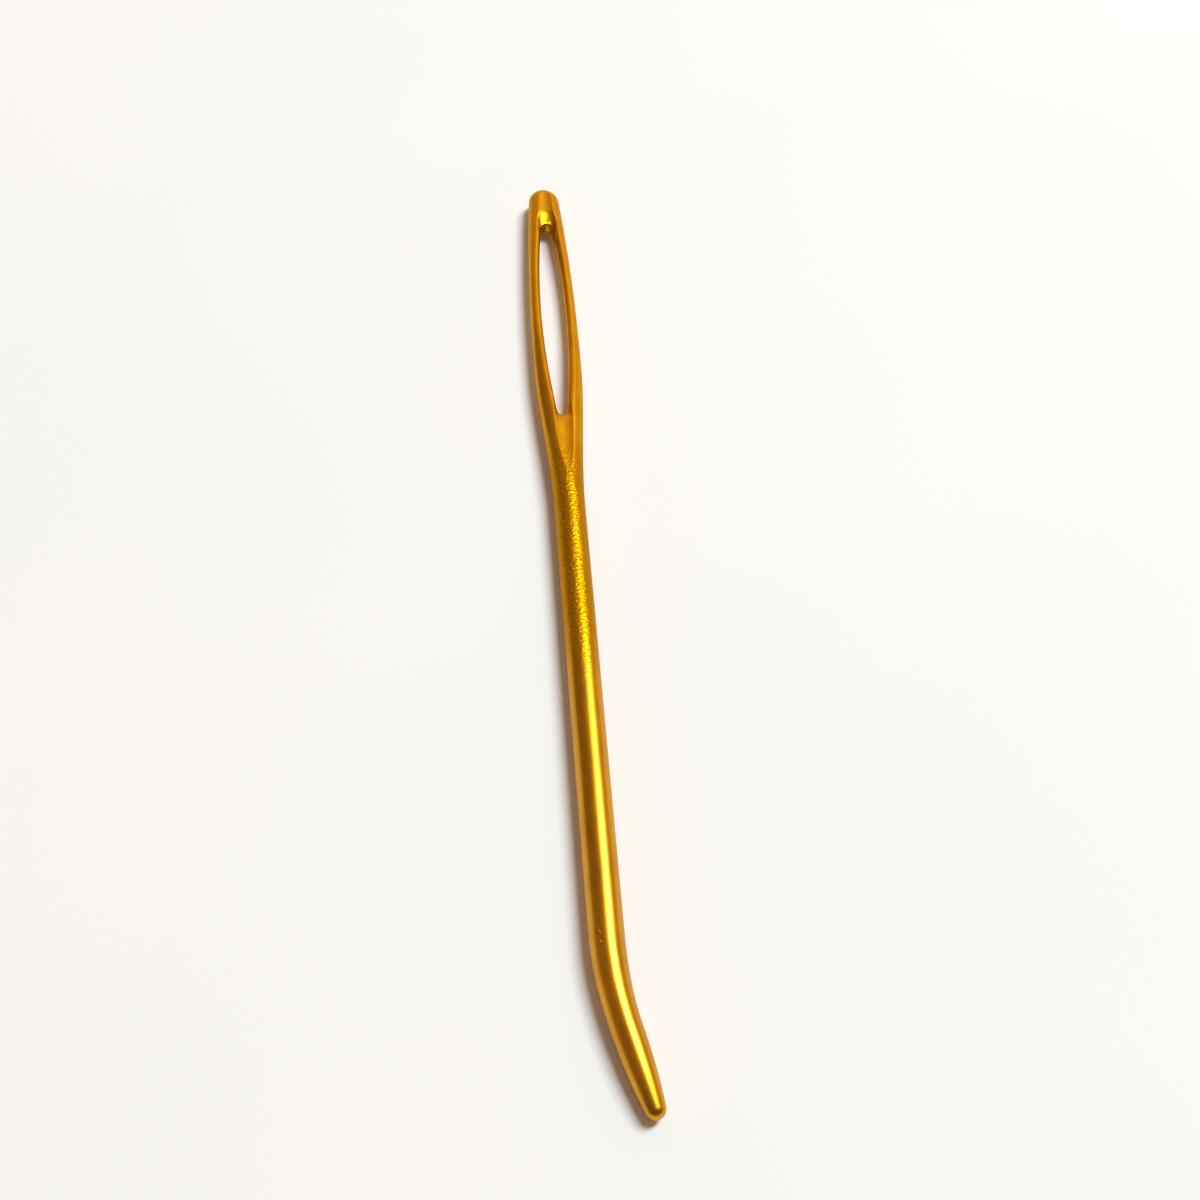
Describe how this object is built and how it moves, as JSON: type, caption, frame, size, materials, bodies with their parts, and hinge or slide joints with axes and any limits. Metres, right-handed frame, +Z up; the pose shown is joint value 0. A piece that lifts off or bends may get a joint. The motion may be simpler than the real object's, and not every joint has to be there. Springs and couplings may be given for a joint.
{
  "type": "bent tip tapestry needle",
  "caption": "Blunt hand needle with a bent, rounded tip, a round shaft and a long eye with gutters pressed above and below it.",
  "frame": {"origin": "middle of the needle's footprint on the ground, as it lies at rest", "axes": "+Y along the shaft towards the eye, -Y towards the tip, +X the way the tip bends, +Z up from the ground"},
  "size_m": [0.0042, 0.07, 0.0021],
  "materials": {
    "gold_anodised": "gold anodised, polished with a satin neck"
  },
  "bodies": {
    "root": {"needle": "gold_anodised"}
  },
  "joints": []
}
